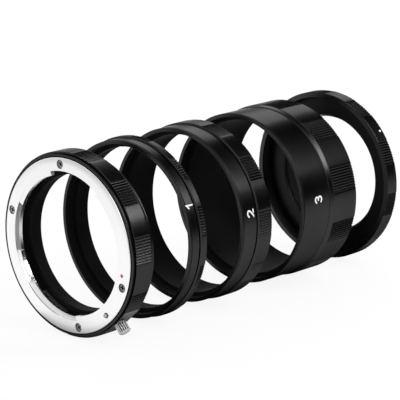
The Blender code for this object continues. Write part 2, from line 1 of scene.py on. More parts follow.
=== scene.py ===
"""Dresses the macro extension tube set: turned, ribbed and threaded rings in satin black,
a bright lens flange and camera bayonet, number marks, screws, springs and the release knob.

Rings are made straight in the frame of the CAD model. Angles run from the top of a ring
towards -Y. Places along the axis, radii and depths are in mm, and places are counted from
the face of the lens flange.
"""
import math

import bmesh
import bpy
from mathutils import Matrix, Vector

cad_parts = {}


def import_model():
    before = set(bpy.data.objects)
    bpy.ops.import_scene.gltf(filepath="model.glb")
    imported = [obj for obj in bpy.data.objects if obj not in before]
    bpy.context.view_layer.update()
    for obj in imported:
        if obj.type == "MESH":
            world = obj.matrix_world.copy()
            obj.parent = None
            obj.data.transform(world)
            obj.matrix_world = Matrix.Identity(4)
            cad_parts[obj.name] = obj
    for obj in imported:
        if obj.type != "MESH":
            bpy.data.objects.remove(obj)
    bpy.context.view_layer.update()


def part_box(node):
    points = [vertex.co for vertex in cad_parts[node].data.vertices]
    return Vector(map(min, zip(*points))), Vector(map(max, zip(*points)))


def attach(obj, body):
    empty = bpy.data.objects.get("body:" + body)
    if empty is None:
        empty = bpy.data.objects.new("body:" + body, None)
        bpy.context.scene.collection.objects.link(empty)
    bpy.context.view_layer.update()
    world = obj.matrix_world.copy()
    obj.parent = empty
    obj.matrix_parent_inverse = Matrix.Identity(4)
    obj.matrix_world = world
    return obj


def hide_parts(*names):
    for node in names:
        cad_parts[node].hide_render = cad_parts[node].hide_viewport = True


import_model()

MM = 0.001
TAU = 2 * math.pi
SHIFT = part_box("lens_flange")[0][0]
AXIS_Z = (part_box("lens_ring")[0][2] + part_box("lens_ring")[1][2]) / 2


def polar(x, r, angle):
    """A point of the row from a place in mm, a radius in mm and an angle in radians."""
    return Vector((SHIFT + x * MM, -r * MM * math.sin(angle), AXIS_Z + r * MM * math.cos(angle)))


# Node trees

class Nodes:
    """Adds and links the nodes of one material or world."""

    def __init__(self, tree):
        self.tree = tree
        self.link = tree.links.new

    def add(self, kind, **settings):
        node = self.tree.nodes.new(kind)
        for name, value in settings.items():
            setattr(node, name, value)
        return node

    def parts(self, place):
        """The X, Y and Z of a place."""
        split = self.add("ShaderNodeSeparateXYZ")
        self.link(place, split.inputs[0])
        return tuple(split.outputs)

    def joined(self, *parts):
        node = self.add("ShaderNodeCombineXYZ")
        for part, socket in zip(parts, node.inputs):
            self.link(part, socket)
        return node.outputs[0]

    def calc(self, operation, first, second=0.0):
        """One step of arithmetic on two sockets, or on a socket and a number."""
        node = self.add("ShaderNodeMath", operation=operation)
        for value, socket in zip((first, second), node.inputs):
            if isinstance(value, bpy.types.NodeSocket):
                self.link(value, socket)
            else:
                socket.default_value = value
        return node.outputs[0]

    def remap(self, value, start, end, low, high, curve="SMOOTHSTEP"):
        """low up to start, high from end on, and a slope between them."""
        node = self.add("ShaderNodeMapRange", interpolation_type=curve)
        set_inputs(node, {"From Min": start, "From Max": end, "To Min": low, "To Max": high})
        self.link(value, node.inputs["Value"])
        return node.outputs["Result"]

    def noise(self, place, scale, detail):
        node = self.add("ShaderNodeTexNoise")
        set_inputs(node, {"Scale": scale, "Detail": detail})
        self.link(place, node.inputs["Vector"])
        return node.outputs["Fac"]

    def bump(self, height, strength, distance, below=None):
        node = self.add("ShaderNodeBump")
        set_inputs(node, {"Strength": strength, "Distance": distance})
        self.link(height, node.inputs["Height"])
        if below:
            self.link(below, node.inputs["Normal"])
        return node.outputs["Normal"]

    def ramp(self, value, colours, stops=(0.0, 1.0)):
        """A colour that runs from the first to the second between two stops."""
        node = self.add("ShaderNodeValToRGB")
        for element, colour, stop in zip(node.color_ramp.elements, colours, stops):
            element.position = stop
            element.color = (*colour, 1)
        self.link(value, node.inputs["Fac"])
        return node.outputs["Color"]

    def show(self, plain, glow, level, share, output):
        """Let plain light the scene, and let the camera and reflections see a share of the glow.

        The camera sees the glow at full strength, and reflections see it at the given level.
        """
        path = self.add("ShaderNodeLightPath").outputs
        mirrored = self.calc("MAXIMUM", path["Is Glossy Ray"], path["Is Transmission Ray"])
        seen = self.calc("MAXIMUM", path["Is Camera Ray"], mirrored)
        glow.inputs["Color"].default_value = WHITE
        self.link(self.calc("MAXIMUM", level, path["Is Camera Ray"]), glow.inputs["Strength"])
        mix = self.add("ShaderNodeMixShader")
        self.link(self.calc("MULTIPLY", seen, share), mix.inputs[0])
        self.link(plain.outputs[0], mix.inputs[1])
        self.link(glow.outputs[0], mix.inputs[2])
        self.link(mix.outputs[0], self.tree.nodes[output].inputs["Surface"])


def set_inputs(node, values):
    for name, value in values.items():
        node.inputs[name].default_value = value


def new_material(name):
    """A material, its shader and its nodes."""
    material = bpy.data.materials.new(name)
    material.use_nodes = True
    tree = material.node_tree
    return material, tree.nodes["Principled BSDF"], Nodes(tree)


def shades(colour, darker, lighter):
    return [tuple(c * factor for c in colour) for factor in (darker, lighter)]


# Materials

WHITE = (1, 1, 1, 1)
GRAIN_SCALE, CLOUD_SCALE, PAINT_SCALE = 2600, 60, 1500
LINE_HEIGHT, GRAIN_HEIGHT, PAINT_HEIGHT = 0.00002, 0.00001, 0.00002
TURN_DRIFT = 0.0006
WEAR_RANGE, TINT_STOPS = (0.6, 1.4), (0.35, 0.65)
PAINT_SHADE, PAINT_GRAIN = 0.9, 0.2


def turned_place(nodes, where):
    """Place along the axis, distance from it and a slow drift round it, in metres."""
    x, y, z = nodes.parts(where)
    height = nodes.calc("SUBTRACT", z, AXIS_Z)
    distance = nodes.add("ShaderNodeVectorMath", operation="LENGTH")
    nodes.link(nodes.joined(y, height), distance.inputs[0])
    drift = nodes.calc("MULTIPLY", nodes.calc("ARCTAN2", y, height), TURN_DRIFT)
    return nodes.joined(x, distance.outputs["Value"], drift)


def turned_metal(name, colour, rough, lines=0.1, line_scale=2600, edge=1.0, speckle=0.1,
                 spread=0.05, tone=0.03, metallic=1.0, specular=0.5):
    """Metal or painted metal with fine turning lines, a fine grain and slight wear."""
    material, shader, nodes = new_material(name)
    set_inputs(shader, {"Metallic": metallic, "Specular IOR Level": specular,
                        "Specular Tint": (edge, edge, edge, 1)})
    where = nodes.add("ShaderNodeTexCoord").outputs["Object"]
    rings = nodes.noise(turned_place(nodes, where), line_scale, 3)
    grain = nodes.noise(where, GRAIN_SCALE, 2)
    clouds = nodes.noise(where, CLOUD_SCALE, 3)
    wear = nodes.remap(nodes.calc("ADD", rings, clouds), *WEAR_RANGE,
                       rough - spread, rough + spread, "LINEAR")
    nodes.link(wear, shader.inputs["Roughness"])
    tint = nodes.ramp(clouds, shades(colour, 1 - tone, 1 + tone), TINT_STOPS)
    nodes.link(tint, shader.inputs["Base Color"])
    turned = nodes.bump(rings, lines, LINE_HEIGHT)
    nodes.link(nodes.bump(grain, speckle, GRAIN_HEIGHT, turned), shader.inputs["Normal"])
    return material


def paint_fill(name, colour, rough):
    """Thick paint filled into an engraved mark, a little uneven."""
    material, shader, nodes = new_material(name)
    shader.inputs["Roughness"].default_value = rough
    where = nodes.add("ShaderNodeTexCoord").outputs["Object"]
    uneven = nodes.noise(where, PAINT_SCALE, 2)
    nodes.link(nodes.ramp(uneven, shades(colour, PAINT_SHADE, 1)), shader.inputs["Base Color"])
    nodes.link(nodes.bump(uneven, PAINT_GRAIN, PAINT_HEIGHT), shader.inputs["Normal"])
    return material


BLACK = turned_metal("satin_black_anodise", (0.044, 0.044, 0.045), 0.26, lines=0.05, edge=0.45,
                     speckle=0.04, spread=0.02, tone=0.08)
# Matt black for the insides of the rings; also laid in the screw recesses and knob grooves as painted
# shade.
INNER_BLACK_AND_SHADE = turned_metal("matt_black_inside_and_shade", (0.0035, 0.0035, 0.0036), 0.6, lines=0.3,
                           speckle=0.3, tone=0.15, metallic=0.0, specular=0.1)
MILLED = turned_metal("milled_grey", (0.16, 0.16, 0.16), 0.4, speckle=0.2, tone=0.1)
PLATE_BLACK = turned_metal("black_plate", (0.02, 0.02, 0.0205), 0.38, edge=0.45, tone=0.1)
CHROME = turned_metal("bright_chrome", (0.97, 0.97, 0.97), 0.22, line_scale=5200,
                      speckle=0.06, spread=0.04, tone=0.01)
SATIN_CHROME = turned_metal("satin_chrome", (0.86, 0.86, 0.865), 0.5, lines=0.2,
                            speckle=0.3, tone=0.04)
PIN_NICKEL = turned_metal("knurled_nickel", (0.45, 0.45, 0.45), 0.27, line_scale=3000)
KNOB_STEEL = turned_metal("knurled_knob", (0.52, 0.52, 0.52), 0.3, line_scale=3000,
                          speckle=0.2, tone=0.1)
SCREW_STEEL = turned_metal("screw_steel", (0.3, 0.3, 0.303), 0.3, lines=0.3, line_scale=1500,
                           speckle=0.5, tone=0.35)
SPRING_STEEL = turned_metal("leaf_spring_steel", (0.6, 0.6, 0.61), 0.25, line_scale=3000)
WHITE_FILL = paint_fill("white_paint_fill", (0.86, 0.86, 0.86), 0.5)
RED_FILL = paint_fill("red_paint_fill", (0.5, 0.06, 0.14), 0.45)


# Mesh makers

# Angles in degrees above which an edge is drawn sharp
SHARP, SHARP_BRIGHT, SHARP_KNOB, SHARP_NUMBER = 35, 40, 30, 60
MERGE_DISTANCE = 1e-7


def smooth(item, sharp=SHARP):
    item.data.shade_smooth()
    item.data.set_sharp_from_angle(angle=math.radians(sharp))


def add_piece(name, bm, materials, body, stands_for, sharp=SHARP):
    """Make a finished piece from a bmesh, tie it to its body and hide the CAD nodes it stands for."""
    bmesh.ops.remove_doubles(bm, verts=bm.verts, dist=MERGE_DISTANCE)
    item = plain_mesh(name, bm)
    for material in materials:
        item.data.materials.append(material)
    smooth(item, sharp)
    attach(item, body)
    if stands_for:
        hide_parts(*stands_for)
    return item


def plain_mesh(name, bm):
    bmesh.ops.recalc_face_normals(bm, faces=bm.faces)
    mesh = bpy.data.meshes.new(name)
    bm.to_mesh(mesh)
    bm.free()
    item = bpy.data.objects.new(name, mesh)
    bpy.context.scene.collection.objects.link(item)
    return item


def skin(bm, rows):
    """Faces between rows of points that run round, and over the ends; a tip repeats one point."""
    faces = []
    for low, high in zip(rows, rows[1:]):
        for k in range(len(low)):
            m = (k + 1) % len(low)
            corners = list(dict.fromkeys((low[k], low[m], high[m], high[k])))
            faces.append(bm.faces.new(corners))
    for end in (rows[0], rows[-1]):
        if end[0] is not end[1]:
            bm.faces.new(end)
    return faces


def bool_cut(item, cutter, operation="DIFFERENCE"):
    boolean = item.modifiers.new("cut", "BOOLEAN")
    boolean.operation = operation
    boolean.solver = "EXACT"
    boolean.object = cutter
    evaluated = item.evaluated_get(bpy.context.evaluated_depsgraph_get())
    mesh = bpy.data.meshes.new_from_object(evaluated)
    item.modifiers.clear()
    old = item.data
    item.data = mesh
    bpy.data.meshes.remove(old)
    bpy.data.objects.remove(cutter, do_unlink=True)


# Turned profiles

CORNER_STEPS, BRIGHT_CORNER_STEPS = 3, 4
USUAL_CORNER = 0.08
CORNER_SHARE = 0.45
LEAST_CORNER = 0.004
LONG_STRETCH = 0.5
HOLD = 0.03


def rounded(profile, radii, steps=CORNER_STEPS):
    """Round each corner of a closed (x, r) loop by its own small radius.

    A row is held close to both ends of each long stretch, so that the stretch is lit as straight.
    """
    out = []
    count = len(profile)
    for index, point in enumerate(profile):
        here = Vector(point)
        before = Vector(profile[index - 1]) - here
        after = Vector(profile[(index + 1) % count]) - here
        room = min(before.length, after.length) * CORNER_SHARE
        reach = min(radii.get(index, USUAL_CORNER), room)
        if reach < LEAST_CORNER:
            out.append(tuple(here))
            continue
        start = here + before.normalized() * reach
        end = here + after.normalized() * reach
        for step in range(steps + 1):
            t = step / steps
            out.append(tuple(start * (1 - t) ** 2 + here * 2 * t * (1 - t) + end * t ** 2))
    held = []
    for index, point in enumerate(out):
        here, after = Vector(point), Vector(out[(index + 1) % len(out)])
        held.append(point)
        if (after - here).length > LONG_STRETCH:
            short = (after - here).normalized() * HOLD
            held += [tuple(here + short), tuple(after - short)]
    return held


# Material slots: the outside, the matt inside (also laid in recesses as painted shade), and the
# milled flat.
OUTSIDE, INSIDE_AND_SHADE, ON_FLAT = 0, 1, 2


def lathe(name, loop, body, columns, stands_for, materials, shape=None, material_at=None,
          sharp=SHARP):
    """Turn a closed loop of (x, r) points; shape(x, r, angle) may move each point's radius.

    material_at(point, next point, angle, next angle) may choose the material of a face.
    """
    bm = bmesh.new()
    grid = []
    for x, r in loop:
        radii = [shape(x, r, angle) if shape else r for angle in columns]
        grid.append([bm.verts.new(polar(x, radius, angle)) for radius, angle in zip(radii, columns)])
    for i, here in enumerate(loop):
        after = (i + 1) % len(loop)
        row, below = grid[i], grid[after]
        for j, angle in enumerate(columns):
            k = (j + 1) % len(columns)
            face = bm.faces.new((row[j], row[k], below[k], below[j]))
            if material_at:
                face.material_index = material_at(here, loop[after], angle, columns[k])
    return add_piece(name, bm, materials, body, stands_for, sharp)


def matt_inside(limit):
    """The matt inside below a radius, the outside above it."""
    def material_at(here, after, angle, next_angle):
        return INSIDE_AND_SHADE if (here[1] + after[1]) / 2 < limit else OUTSIDE
    return material_at


PLAIN_COLUMNS = [TAU * i / 288 for i in range(288)]


# Grip ribs and threads

R_OUT, R_BAND, R_SOCKET, R_SPIGOT, R_BORE = 31.0, 30.4, 29.0, 28.8, 27.6
RIM_ZONE = 0.5
PATCHES = 10
PATCH_PITCH = TAU / PATCHES
RIBS = 8
RIB_PITCH = math.radians(1.8)
RIB_DEPTH = 0.34
RIB_ROUNDNESS = 1.3
PATCH_HALF = RIBS * RIB_PITCH / 2
COLUMNS_PER_RIB = 6
LAND_STEP = math.radians(1.5)
THREAD_PITCH = 0.75
THREAD_DEPTH = 0.17
THREAD_RUN_OUT = 0.3
THREAD_ROWS_PER_MM = 9
THREAD_LEAST = 0.8
CLOSE = 0.01


def grip_columns(first):
    """Angles of the columns: close together over the ribs, wider between them."""
    angles = []
    ribbed = (RIBS + 1) * RIB_PITCH
    land = PATCH_PITCH - ribbed
    land_steps = max(2, round(land / LAND_STEP))
    for patch in range(PATCHES):
        start = first + patch * PATCH_PITCH - PATCH_HALF - RIB_PITCH / 2
        columns = (RIBS + 1) * COLUMNS_PER_RIB
        angles += [start + i * RIB_PITCH / COLUMNS_PER_RIB for i in range(columns)]
        angles += [start + ribbed + land * i / land_steps for i in range(land_steps)]
    return angles


def rib_dip(angle, first):
    """How far a grip surface drops at an angle: round-topped ribs between narrow grooves."""
    local = (angle - first + PATCH_PITCH / 2) % PATCH_PITCH - PATCH_PITCH / 2
    if abs(local) > PATCH_HALF + RIB_PITCH / 2:
        return 0.0
    phase = (local + PATCH_HALF) / RIB_PITCH
    dip = 0.5 + 0.5 * math.cos(phase * TAU)
    return RIB_DEPTH * dip ** RIB_ROUNDNESS


def thread_wave(value):
    return abs(value % 1.0 - 0.5) * 2


def ring_shape(first, grip, threads, milled):
    """Radius of a ring at any point: ribs in its grip band, a fine thread, perhaps the flat."""
    def shape(x, r, angle):
        if grip[0] - CLOSE <= x <= grip[1] + CLOSE and r > R_OUT - RIM_ZONE:
            r = min(r, R_OUT - rib_dip(angle, first))
        for x0, x1, radius, sign in threads:
            if x0 < x < x1 and abs(r - radius) < 2 * CLOSE:
                edge = min(1.0, (x - x0) / THREAD_RUN_OUT, (x1 - x) / THREAD_RUN_OUT)
                r -= sign * THREAD_DEPTH * edge * thread_wave(x / THREAD_PITCH - angle / TAU)
        return milled_flat(x, r, angle) if milled else r
    return shape


def with_rows(loop, x0, x1, radius):
    """Add rows along a straight stretch of a loop, so that a thread can be shaped there."""
    out = []
    for i, (x, r) in enumerate(loop):
        out.append((x, r))
        next_x, next_r = loop[(i + 1) % len(loop)]
        level = abs(r - radius) < CLOSE and abs(next_r - radius) < CLOSE
        inside = min(x, next_x) >= x0 and max(x, next_x) <= x1
        if level and inside and abs(next_x - x) > THREAD_LEAST:
            steps = round(abs(next_x - x) * THREAD_ROWS_PER_MM)
            out += [(x + (next_x - x) * s / steps, r) for s in range(1, steps)]
    return out


# The milled flat under the release knob

FLAT_ANGLE = math.radians(137)
FLAT_REACH = R_OUT - 0.7
FLAT_START, FLAT_GREY_START = 1.3, 1.7
FLAT_ZONE = math.radians(20)


def flat_turn(angle):
    """Angle from the middle of the flat."""
    return (angle - FLAT_ANGLE + math.pi) % TAU - math.pi


def milled_flat(x, r, angle):
    turn = flat_turn(angle)
    if x > FLAT_START and abs(turn) < FLAT_ZONE and r > R_SPIGOT + 0.1:
        return min(r, FLAT_REACH / math.cos(turn))
    return r


def on_flat(point, angle):
    """Whether a point of the ring's outside lies in the milled flat."""
    half = math.acos(FLAT_REACH / R_OUT)
    return point[0] > FLAT_GREY_START and point[1] > R_OUT - 0.1 and abs(flat_turn(angle)) < half


def flat_and_inside(limit):
    """The milled grey on the flat, and elsewhere as matt_inside says."""
    elsewhere = matt_inside(limit)

    def material_at(here, after, angle, next_angle):
        if on_flat(here, angle) and on_flat(after, next_angle):
            return ON_FLAT
        return elsewhere(here, after, angle, next_angle)
    return material_at


# Rings

SOCKET_DEPTH = 3.5
SPIGOT = 2.2
THREAD_END = 0.3
ROW_MARGIN = 0.5
STEP_MARGIN = 0.04
SOCKET_LIMIT = R_SOCKET + 0.3
GRIP_ANGLES = {"lens_ring": 47, "tube_1": 76, "tube_2": 52, "tube_3": 38, "camera_ring": 65}


def turn_ring(name, body, profile, radii, grip, threads, limit, bore=INNER_BLACK_AND_SHADE, milled=False):
    """A black ring from its profile, with ribs in its grip band and its threads cut."""
    loop = rounded(profile, radii)
    for x0, x1, radius, _ in threads:
        loop = with_rows(loop, x0 - ROW_MARGIN, x1 + ROW_MARGIN, radius)
    first = math.radians(GRIP_ANGLES[name])
    lathe(name + "_dressed", loop, body, grip_columns(first), (name,),
          (BLACK, bore, MILLED) if milled else (BLACK, bore),
          ring_shape(first, grip, threads, milled),
          flat_and_inside(limit) if milled else matt_inside(limit))


# Steps on a tube, as (place, depth) behind its front and (place, radius) behind its number band
TUBE_NECK = ((0.32, 0), (0.38, 0.32), (0.68, 0.32), (0.76, 0))
GROOVE = ((0.06, 29.9), (0.52, 29.9), (0.55, 30.4), (0.85, R_OUT))
SLOPE = ((-0.36, 30.62), (1.45, 30.88), (1.5, R_OUT))

# Name, body, front, end of the number band, step up to the grip, rear of the grip
TUBES = (("tube_1", "first_tube", 27.0, 30.9, GROOVE, 34.0),
         ("tube_2", "second_tube", 52.1, 58.9, GROOVE, 66.1),
         ("tube_3", "third_tube", 83.1, 97.4, SLOPE, 110.9))


def number_tube(name, body, front, band_end, step, rear):
    """A numbered tube: lip, narrow neck, band, step up to the grip, grip and threaded spigot."""
    end = rear + SPIGOT
    socket_end = front + SOCKET_DEPTH
    profile = [(front, R_SOCKET), (front, R_BAND),
               *((front + ahead, R_BAND - depth) for ahead, depth in TUBE_NECK),
               (band_end + min(0, step[0][0] - STEP_MARGIN), R_BAND),
               *((band_end + ahead, r) for ahead, r in step),
               (rear, R_OUT), (rear, R_SPIGOT), (end, R_SPIGOT), (end, R_BORE),
               (socket_end, R_BORE), (socket_end, R_SOCKET)]
    edge = profile.index((rear, R_OUT))
    radii = {0: 0.12, 1: 0.16, edge: 0.2, edge + 2: 0.3, edge + 3: 0.12}
    threads = [(rear + THREAD_END, end - THREAD_END, R_SPIGOT, 1),
               (front + THREAD_END, socket_end - THREAD_END, R_SOCKET, -1)]
    grip = (band_end + step[-1][0], rear)
    turn_ring(name, body, profile, radii, grip, threads, SOCKET_LIMIT)


def lens_ring():
    """The lens side ring: bead, groove, grip, spigot, stop ring and the seat of the flange."""
    front, bead_end, grip_start, rear, end = 0.5, 1.0, 1.6, 8.4, 11.6
    seat, stop_front, stop_rear = 1.3, 5.6, 10.0
    r_seat, r_bead, r_groove, r_end, r_stop, r_cavity = 29.6, 30.3, 29.9, 27.2, 22.8, 25.5
    profile = [(front, r_seat), (front, r_bead), (bead_end, r_bead), (bead_end + 0.05, r_groove),
               (grip_start, r_groove), (grip_start, R_OUT), (rear, R_OUT), (rear, R_SPIGOT),
               (end, R_SPIGOT), (end, r_end), (stop_rear, r_end), (stop_rear, r_stop),
               (stop_front, r_stop), (stop_front, r_cavity), (seat, r_cavity), (seat, r_seat)]
    radii = {0: 0.05, 1: 0.15, 2: 0.1, 5: 0.22, 6: 0.25, 8: 0.3, 11: 0.15, 12: 0.15}
    threads = [(rear + THREAD_END, end - THREAD_END, R_SPIGOT, 1)]
    turn_ring("lens_ring", "lens_side", profile, radii, (grip_start, rear), threads,
              R_SPIGOT - 0.3, milled=True)


def camera_ring():
    """The camera side ring: a socket behind a plate, with ribs over its whole rim."""
    front, rear, plate, r_plate = 128.7, 133.9, 132.7, 21.9
    profile = [(front, R_SOCKET), (front, R_OUT), (rear, R_OUT), (rear, r_plate),
               (plate, r_plate), (plate, R_SOCKET)]
    radii = {0: 0.12, 1: 0.22, 2: 0.22, 3: 0.1, 4: 0.15}
    threads = [(front + THREAD_END, plate - THREAD_END, R_SOCKET, -1)]
    turn_ring("camera_ring", "camera_side", profile, radii, (front, rear), threads,
              SOCKET_LIMIT, bore=PLATE_BLACK)


# Numbers on the tubes

STROKE_HALF = 0.29
STROKE_ROOT = R_BAND - 0.05
STROKE_TOP = R_BAND + 0.03
STROKE_STEP = 0.004
CAP_STEPS = 6
MITRE_LIMIT, LEAST_SLANT = 2.2, 0.3


def stroke_sides(path):
    """Points along the left and right of a painted stroke."""
    left, right = [], []
    for i, point in enumerate(path):
        back = (point - path[i - 1]).normalized() if i else None
        ahead = (path[i + 1] - point).normalized() if i < len(path) - 1 else None
        if back is None:
            side = Vector((-ahead.y, ahead.x)) * STROKE_HALF
        elif ahead is None:
            side = Vector((-back.y, back.x)) * STROKE_HALF
        else:
            middle = (back + ahead).normalized()
            normal = Vector((-middle.y, middle.x))
            slant = max(LEAST_SLANT, normal.dot(Vector((-back.y, back.x))))
            side = normal * min(STROKE_HALF / slant, STROKE_HALF * MITRE_LIMIT)
        left.append(point + side)
        right.append(point - side)
    return left, right


def stroke_cap(tip, before):
    """Points round the end of a stroke."""
    direction = (tip - before).normalized()
    across = Vector((direction.y, -direction.x))
    turns = [math.pi * k / CAP_STEPS - math.pi / 2 for k in range(1, CAP_STEPS)]
    return [tip + (direction * math.cos(a) - across * math.sin(a)) * STROKE_HALF for a in turns]


def stroke(bm, points, x0, angle0, top):
    """A painted stroke along points (reading right, reading up) in mm, wrapped on a band."""
    path = [Vector(point) for point in points]
    left, right = stroke_sides(path)
    end_cap = stroke_cap(path[-1], path[-2])
    outline = right + end_cap + left[::-1] + stroke_cap(path[0], path[1])

    def wrapped(radius):
        return [bm.verts.new(polar(x0 - p.y, radius, angle0 - p.x / radius)) for p in outline]

    low, high = wrapped(STROKE_ROOT), wrapped(top)
    count = len(outline)
    for k in range(count):
        bm.faces.new((low[k], low[(k + 1) % count], high[(k + 1) % count], high[k]))
    length, cap = len(path), len(end_cap)
    last = 2 * length + cap - 1
    for i in range(length - 1):
        bm.faces.new((high[i], high[i + 1], high[last - i - 1], high[last - i]))
    bm.faces.new(high[length - 1:length + cap + 1])
    bm.faces.new(high[last:] + [high[0]])


def arc(cx, cy, rx, ry, start, end, steps):
    turns = [math.radians(start + (end - start) * i / steps) for i in range(steps + 1)]
    return [(cx + rx * math.cos(a), cy + ry * math.sin(a)) for a in turns]


# Body, place, angle in degrees and strokes of each number
NUMBERS = {
    "number_1": ("first_tube", 29.2, 64.9, [[(-0.75, 0.55), (0.2, 1.3), (0.2, -1.3)]]),
    "number_2": ("second_tube", 56.3, 79.7, [
        [(-1.05, 0.8), *arc(-0.02, 0.62, 0.98, 0.8, 165, -28, 12),
         (0.35, -0.35), (-1.05, -1.4), (1.15, -1.4)]]),
    "number_3": ("third_tube", 91.1, 83.3, [
        [(-1.05, 1.1), *arc(0.0, 0.78, 0.92, 0.82, 150, -60, 10), (-0.15, 0.1)],
        [(-0.15, 0.1), *arc(0.0, -0.78, 1.02, 0.86, 70, -155, 12)]])}


def add_numbers():
    for number, (body, place, degrees, strokes) in NUMBERS.items():
        bm = bmesh.new()
        for index, points in enumerate(strokes):
            stroke(bm, points, place, math.radians(degrees), STROKE_TOP + STROKE_STEP * index)
        add_piece(number, bm, (WHITE_FILL,), body, (), SHARP_NUMBER)


# Small makers

SECTOR_STEPS = 48
TURNED_STEPS = 40


def add_sector(bm, x0, x1, inner, outer, start, end, rear_outer=None):
    """A block bent round the axis, between two angles in degrees; its outside may taper."""
    section = ((x0, inner), (x0, outer), (x1, rear_outer or outer), (x1, inner))
    angles = [math.radians(start + (end - start) * i / SECTOR_STEPS)
              for i in range(SECTOR_STEPS + 1)]
    skin(bm, [[bm.verts.new(polar(x, r, angle)) for x, r in section] for angle in angles])


def add_turned(bm, profile, circle, degrees):
    """A small turned piece along the axis, from (x, radius) pairs, at a circle and an angle."""
    centre = polar(0, circle, math.radians(degrees))
    turns = [TAU * k / TURNED_STEPS for k in range(TURNED_STEPS)]
    rows = []
    for x, radius in profile:
        place = SHIFT + x * MM
        if radius == 0:
            rows.append([bm.verts.new((place, centre.y, centre.z))] * TURNED_STEPS)
            continue
        rows.append([bm.verts.new((place, centre.y + radius * MM * math.cos(turn),
                                   centre.z + radius * MM * math.sin(turn))) for turn in turns])
    skin(bm, rows)


def small_turned(name, body, profile, circle, degrees, material, slot):
    bm = bmesh.new()
    add_turned(bm, profile, circle, degrees)
    add_piece(name + "_dressed", bm, (material,), body, (name,))


# Lens flange and camera bayonet

SLOTS = ((171, 229, 24.0), (255, 295, 24.93), (343, 395, 24.93))
SCREWS = (355, 109, 169, 286)
SCREW_CIRCLE = 27.1
SCREW_HOLE, PIN_HOLE, DOT_HOLE = 1.5, 0.95, 0.62
HOLE_FRONT, HOLE_REAR, DOT_HOLE_REAR = -0.5, 1.5, 0.5
SLOT_INNER = 22.0
PIN = (26.8, 137)
RED_DOT = (26.1, 100.6)

BAYONET_LUGS = ((20, 75), (140, 185), (255, 305))
BAYONET_SCREWS = (40, 130, 220, 310)
BAYONET_CIRCLE = 24.9
BAYONET_SCREW_HOLE = 1.4
LUG_CHAMFER, LUG_EDGE_ANGLE = 0.2, 40


def lens_flange():
    """The bright mount flange and its collar; the slots leave its three inner lugs standing."""
    r_throat, r_collar, r_lug, r_edge, r_rim = 24.9, 25.2, 23.4, 27.7, 29.3
    cone_end, rear, lug_front, lug_rear, collar_end = 0.16, 1.0, 0.4, 1.9, 3.4
    profile = [(0, r_throat), (0, r_edge), (cone_end, r_rim), (rear, r_rim), (rear, r_collar),
               (collar_end, r_collar), (collar_end, r_throat), (lug_rear, r_throat),
               (lug_rear, r_lug), (lug_front, r_lug), (lug_front, r_throat)]
    radii = {0: 0.1, 1: 1.2, 2: 0.35, 5: 0.06, 6: 0.06, 8: 0.12, 9: 0.15, 10: 0.05}
    loop = rounded(profile, radii, BRIGHT_CORNER_STEPS)
    item = lathe("lens_flange_dressed", loop, "lens_side", PLAIN_COLUMNS,
                 ("lens_flange",), (CHROME, SATIN_CHROME), sharp=SHARP_BRIGHT)
    bm = bmesh.new()
    for start, end, rear_outer in SLOTS:
        add_sector(bm, lug_front - 0.1, lug_rear + 0.1, SLOT_INNER, r_throat + 0.03,
                   start, end, rear_outer)
    for face in bm.faces:
        face.material_index = INSIDE_AND_SHADE
    bool_cut(item, plain_mesh("slots", bm))
    bm = bmesh.new()
    for degrees in SCREWS:
        add_turned(bm, [(HOLE_FRONT, SCREW_HOLE), (HOLE_REAR, SCREW_HOLE)], SCREW_CIRCLE, degrees)
    add_turned(bm, [(HOLE_FRONT, PIN_HOLE), (HOLE_REAR, PIN_HOLE)], *PIN)
    add_turned(bm, [(HOLE_FRONT, DOT_HOLE), (DOT_HOLE_REAR, DOT_HOLE)], *RED_DOT)
    bool_cut(item, plain_mesh("holes", bm))
    smooth(item, SHARP_BRIGHT)


def camera_bayonet():
    """The bright seat plate with its tube and three outer lugs, each with chamfered edges."""
    plate_front, seat, end = 134.2, 135.2, 139.8
    r_bore, r_tube, r_plate, r_lug = 21.2, 22.2, 27.6, 24.1
    profile = [(plate_front, r_bore), (plate_front, r_plate), (seat, r_plate), (seat, r_tube),
               (end, r_tube), (end, r_bore)]
    radii = {1: 0.1, 2: 0.3, 3: 0.2, 4: 0.25, 5: 0.2}
    loop = rounded(profile, radii, BRIGHT_CORNER_STEPS)
    item = lathe("camera_bayonet_dressed", loop, "camera_side", PLAIN_COLUMNS,
                 ("camera_bayonet",), (CHROME, INNER_BLACK_AND_SHADE),
                 material_at=matt_inside(r_bore + 0.2), sharp=SHARP_BRIGHT)
    bm = bmesh.new()
    for start, end_angle in BAYONET_LUGS:
        add_sector(bm, end - 1.6, end - 0.2, r_tube - 0.3, r_lug, start, end_angle)
    lugs = plain_mesh("lugs", bm)
    bevel = lugs.modifiers.new("edges", "BEVEL")
    bevel.width = LUG_CHAMFER * MM
    bevel.segments = 2
    bevel.limit_method = "ANGLE"
    bevel.angle_limit = math.radians(LUG_EDGE_ANGLE)
    bool_cut(item, lugs, "UNION")
    bm = bmesh.new()
    for degrees in BAYONET_SCREWS:
        add_turned(bm, [(plate_front - 0.1, BAYONET_SCREW_HOLE), (seat + 0.3, BAYONET_SCREW_HOLE)],
                   BAYONET_CIRCLE, degrees)
    bool_cut(item, plain_mesh("holes", bm))
    smooth(item, SHARP_BRIGHT)


# Screws, dots, pin and springs

# A pan head, as (drop from its top, share of its radius), and the depth of its edge
HEAD_DOME = ((0.0, 0.0), (0.03, 0.55), (0.1, 0.85), (0.2, 0.97), (0.3, 1.0))
HEAD_DEPTH = 0.55
CROSS_DEPTH, CROSS_WIDTH, CROSS_SHARE = 0.7, 0.46, 1.3
FLANGE_HEAD, FLANGE_HEAD_FACE, FLANGE_TURNS = 1.38, 0.3, (0.5, 0.2, 0.9, 0.35)
BAYONET_HEAD, BAYONET_HEAD_FACE, BAYONET_TURN = 1.2, 134.9, 0.3


